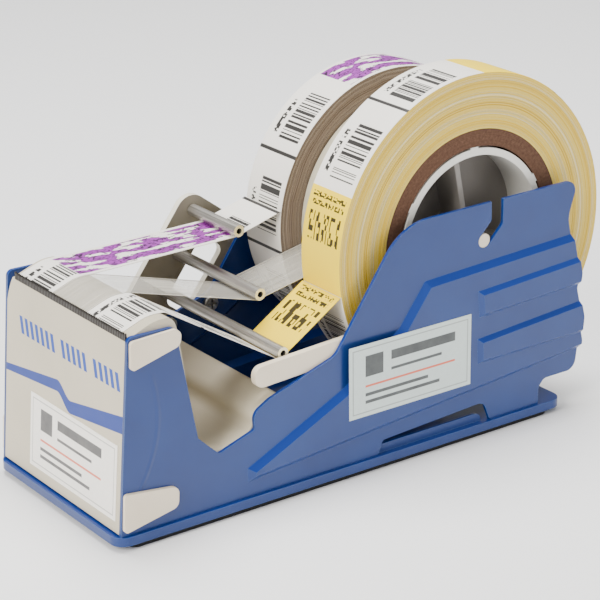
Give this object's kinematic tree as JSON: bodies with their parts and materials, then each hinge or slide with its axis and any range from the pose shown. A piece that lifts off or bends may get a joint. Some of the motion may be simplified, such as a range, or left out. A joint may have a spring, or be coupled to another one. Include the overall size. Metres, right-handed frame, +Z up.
{
  "type": "bench label tape dispenser",
  "caption": "Bench-top dispenser for rolls of label tape side by side: steel side panels, plastic front with serrated blade, shared turning hub and guide rollers.",
  "frame": {"origin": "centre of the underside of the rubber foot", "axes": "+Z up, +X to the rear (rolls), -X to the cutter blade, +Y to the guide plate"},
  "size_m": [0.2474, 0.1026, 0.1552],
  "materials": {
    "blue_paint": "gloss",
    "beige_paint": "satin",
    "grey_plastic": "satin",
    "cream_plastic": "satin",
    "white_plastic": "satin",
    "hub_plastic": "matt",
    "blade_steel": "dark",
    "bright_steel": "plated",
    "tube_aluminium": "satin",
    "foot_rubber": "matt",
    "core_card": "matt",
    "near_stock": "matt",
    "clear_stock": "clear",
    "far_stock": "matt",
    "label_white": "satin"
  },
  "bodies": {
    "housing": {"base_tray": "blue_paint", "rubber_foot": "foot_rubber", "near_panel": "blue_paint", "far_panel": "blue_paint", "front_cover": "grey_plastic", "cutter_blade": "blade_steel", "near_upper_cap": "cream_plastic", "near_lower_cap": "cream_plastic", "far_upper_cap": "cream_plastic", "far_lower_cap": "cream_plastic", "guide_plate": "beige_paint", "high_guide_pin": "bright_steel", "middle_guide_pin": "bright_steel", "low_guide_pin": "bright_steel", "plate_screws": "bright_steel", "plate_nuts": "bright_steel", "near_rail": "cream_plastic", "near_tape": "near_stock", "middle_tape": "clear_stock", "far_tape": "far_stock", "front_label": "label_white", "side_label": "label_white"},
    "hub": {"hub_shell": "white_plastic", "near_hub_spider": "hub_plastic", "far_hub_spider": "hub_plastic", "hub_axle": "cream_plastic"},
    "near_reel": {"near_core": "core_card", "near_roll": "near_stock"},
    "middle_reel": {"middle_core": "core_card", "middle_roll": "clear_stock"},
    "far_reel": {"far_core": "core_card", "far_roll": "far_stock"},
    "high_guide": {"high_guide_roller": "tube_aluminium"},
    "middle_guide": {"middle_guide_roller": "tube_aluminium"},
    "low_guide": {"low_guide_roller": "tube_aluminium"}
  },
  "joints": [
    {"name": "hub_turn", "type": "hinge", "parent": "housing", "child": "hub", "pos_m": [0.067, 0, 0.0867], "axis": [0, 1, 0], "continuous": true},
    {"name": "near_reel_turn", "type": "hinge", "parent": "hub", "child": "near_reel", "pos_m": [0.067, 0, 0.0867], "axis": [0, 1, 0], "continuous": true},
    {"name": "middle_reel_turn", "type": "hinge", "parent": "hub", "child": "middle_reel", "pos_m": [0.067, 0, 0.0867], "axis": [0, 1, 0], "continuous": true},
    {"name": "far_reel_turn", "type": "hinge", "parent": "hub", "child": "far_reel", "pos_m": [0.067, 0, 0.0867], "axis": [0, 1, 0], "continuous": true},
    {"name": "high_guide_turn", "type": "hinge", "parent": "housing", "child": "high_guide", "pos_m": [-0.015, 0, 0.0927], "axis": [0, 1, 0], "continuous": true},
    {"name": "middle_guide_turn", "type": "hinge", "parent": "housing", "child": "middle_guide", "pos_m": [-0.0229, 0, 0.0749], "axis": [0, 1, 0], "continuous": true},
    {"name": "low_guide_turn", "type": "hinge", "parent": "housing", "child": "low_guide", "pos_m": [-0.0304, 0, 0.06], "axis": [0, 1, 0], "continuous": true}
  ]
}
